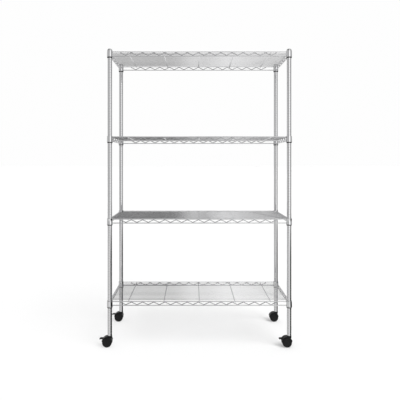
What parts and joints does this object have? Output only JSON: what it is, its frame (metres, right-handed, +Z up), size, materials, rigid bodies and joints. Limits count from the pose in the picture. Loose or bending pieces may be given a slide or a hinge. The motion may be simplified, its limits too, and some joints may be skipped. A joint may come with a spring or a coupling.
{
  "type": "wire shelving rack",
  "caption": "Chromed wire shelving rack: grooved tube posts carry wire shelves on split sleeves and tapered collars, and roll on hooded swivel casters with foot brakes.",
  "frame": {"origin": "on the floor at the middle of the rectangle of post axes", "axes": "+X along the shelves to the right, +Y to the back, +Z up"},
  "size_m": [0.9493, 0.3706, 1.4686],
  "materials": {
    "chrome_post": "bright plated tube",
    "chrome_cap": "bright plated moulding",
    "chrome_collar": "bright plated pressing",
    "chrome_wire": "plated drawn wire, slightly satin",
    "sleeve_plastic": "moulded black",
    "caster_plastic": "semi-gloss moulded black",
    "wheel_plastic": "satin moulded black",
    "lever_plastic": "satin moulded black",
    "zinc_steel": "zinc plated",
    "spring_steel": "blackened spring steel",
    "axle_steel": "bright drawn"
  },
  "bodies": {
    "rack": {"shelf_1_collars": "chrome_collar", "shelf_1_split_sleeves": "sleeve_plastic", "shelf_1_rails": "chrome_wire", "shelf_1_snake_wires": "chrome_wire", "shelf_1_cross_wires": "chrome_wire", "shelf_1_deck_wires": "chrome_wire", "shelf_2_collars": "chrome_collar", "shelf_2_split_sleeves": "sleeve_plastic", "shelf_2_rails": "chrome_wire", "shelf_2_snake_wires": "chrome_wire", "shelf_2_cross_wires": "chrome_wire", "shelf_2_deck_wires": "chrome_wire", "shelf_3_collars": "chrome_collar", "shelf_3_split_sleeves": "sleeve_plastic", "shelf_3_rails": "chrome_wire", "shelf_3_snake_wires": "chrome_wire", "shelf_3_cross_wires": "chrome_wire", "shelf_3_deck_wires": "chrome_wire", "shelf_4_collars": "chrome_collar", "shelf_4_split_sleeves": "sleeve_plastic", "shelf_4_rails": "chrome_wire", "shelf_4_snake_wires": "chrome_wire", "shelf_4_cross_wires": "chrome_wire", "shelf_4_deck_wires": "chrome_wire", "post_front_left": "chrome_post", "post_cap_front_left": "chrome_cap", "post_front_right": "chrome_post", "post_cap_front_right": "chrome_cap", "post_rear_left": "chrome_post", "post_cap_rear_left": "chrome_cap", "post_rear_right": "chrome_post", "post_cap_rear_right": "chrome_cap", "post_inserts": "zinc_steel", "caster_front_left_stem": "zinc_steel", "caster_front_right_stem": "zinc_steel", "caster_rear_left_stem": "zinc_steel", "caster_rear_right_stem": "zinc_steel", "stem_retaining_rings": "spring_steel"},
    "caster_front_left_fork": {"caster_front_left_hood": "caster_plastic", "caster_front_left_axle": "axle_steel"},
    "caster_front_left_wheel_front": {"caster_front_left_wheel_front": "wheel_plastic"},
    "caster_front_left_wheel_rear": {"caster_front_left_wheel_rear": "wheel_plastic"},
    "caster_front_left_brake_lever": {"caster_front_left_brake_lever": "lever_plastic"},
    "caster_front_right_fork": {"caster_front_right_hood": "caster_plastic", "caster_front_right_axle": "axle_steel"},
    "caster_front_right_wheel_front": {"caster_front_right_wheel_front": "wheel_plastic"},
    "caster_front_right_wheel_rear": {"caster_front_right_wheel_rear": "wheel_plastic"},
    "caster_front_right_brake_lever": {"caster_front_right_brake_lever": "lever_plastic"},
    "caster_rear_left_fork": {"caster_rear_left_hood": "caster_plastic", "caster_rear_left_axle": "axle_steel"},
    "caster_rear_left_wheel_front": {"caster_rear_left_wheel_front": "wheel_plastic"},
    "caster_rear_left_wheel_rear": {"caster_rear_left_wheel_rear": "wheel_plastic"},
    "caster_rear_left_brake_lever": {"caster_rear_left_brake_lever": "lever_plastic"},
    "caster_rear_right_fork": {"caster_rear_right_hood": "caster_plastic", "caster_rear_right_axle": "axle_steel"},
    "caster_rear_right_wheel_front": {"caster_rear_right_wheel_front": "wheel_plastic"},
    "caster_rear_right_wheel_rear": {"caster_rear_right_wheel_rear": "wheel_plastic"}
  },
  "joints": [
    {"name": "caster_front_left_swivel", "type": "hinge", "parent": "rack", "child": "caster_front_left_fork", "pos_m": [-0.4425, -0.164, 0.0535], "axis": [0, 0, 1], "continuous": true},
    {"name": "caster_front_left_wheel_front_spin", "type": "hinge", "parent": "caster_front_left_fork", "child": "caster_front_left_wheel_front", "pos_m": [-0.4547, -0.164, 0.0235], "axis": [0, 1, 0], "continuous": true},
    {"name": "caster_front_left_wheel_rear_spin", "type": "hinge", "parent": "caster_front_left_fork", "child": "caster_front_left_wheel_rear", "pos_m": [-0.4547, -0.164, 0.0235], "axis": [0, 1, 0], "continuous": true},
    {"name": "caster_front_left_brake", "type": "hinge", "parent": "caster_front_left_fork", "child": "caster_front_left_brake_lever", "pos_m": [-0.468, -0.164, 0.0375], "axis": [0, -1, 0], "range_deg": [0, 18]},
    {"name": "caster_front_right_swivel", "type": "hinge", "parent": "rack", "child": "caster_front_right_fork", "pos_m": [0.4425, -0.164, 0.0535], "axis": [0, 0, 1], "continuous": true},
    {"name": "caster_front_right_wheel_front_spin", "type": "hinge", "parent": "caster_front_right_fork", "child": "caster_front_right_wheel_front", "pos_m": [0.4303, -0.164, 0.0235], "axis": [0, 1, 0], "continuous": true},
    {"name": "caster_front_right_wheel_rear_spin", "type": "hinge", "parent": "caster_front_right_fork", "child": "caster_front_right_wheel_rear", "pos_m": [0.4303, -0.164, 0.0235], "axis": [0, 1, 0], "continuous": true},
    {"name": "caster_front_right_brake", "type": "hinge", "parent": "caster_front_right_fork", "child": "caster_front_right_brake_lever", "pos_m": [0.417, -0.164, 0.0375], "axis": [0, -1, 0], "range_deg": [0, 18]},
    {"name": "caster_rear_left_swivel", "type": "hinge", "parent": "rack", "child": "caster_rear_left_fork", "pos_m": [-0.4425, 0.164, 0.0535], "axis": [0, 0, 1], "continuous": true},
    {"name": "caster_rear_left_wheel_front_spin", "type": "hinge", "parent": "caster_rear_left_fork", "child": "caster_rear_left_wheel_front", "pos_m": [-0.4547, 0.164, 0.0235], "axis": [0, 1, 0], "continuous": true},
    {"name": "caster_rear_left_wheel_rear_spin", "type": "hinge", "parent": "caster_rear_left_fork", "child": "caster_rear_left_wheel_rear", "pos_m": [-0.4547, 0.164, 0.0235], "axis": [0, 1, 0], "continuous": true},
    {"name": "caster_rear_left_brake", "type": "hinge", "parent": "caster_rear_left_fork", "child": "caster_rear_left_brake_lever", "pos_m": [-0.468, 0.164, 0.0375], "axis": [0, -1, 0], "range_deg": [0, 18]},
    {"name": "caster_rear_right_swivel", "type": "hinge", "parent": "rack", "child": "caster_rear_right_fork", "pos_m": [0.4425, 0.164, 0.0535], "axis": [0, 0, 1], "continuous": true},
    {"name": "caster_rear_right_wheel_front_spin", "type": "hinge", "parent": "caster_rear_right_fork", "child": "caster_rear_right_wheel_front", "pos_m": [0.4303, 0.164, 0.0235], "axis": [0, 1, 0], "continuous": true},
    {"name": "caster_rear_right_wheel_rear_spin", "type": "hinge", "parent": "caster_rear_right_fork", "child": "caster_rear_right_wheel_rear", "pos_m": [0.4303, 0.164, 0.0235], "axis": [0, 1, 0], "continuous": true}
  ]
}
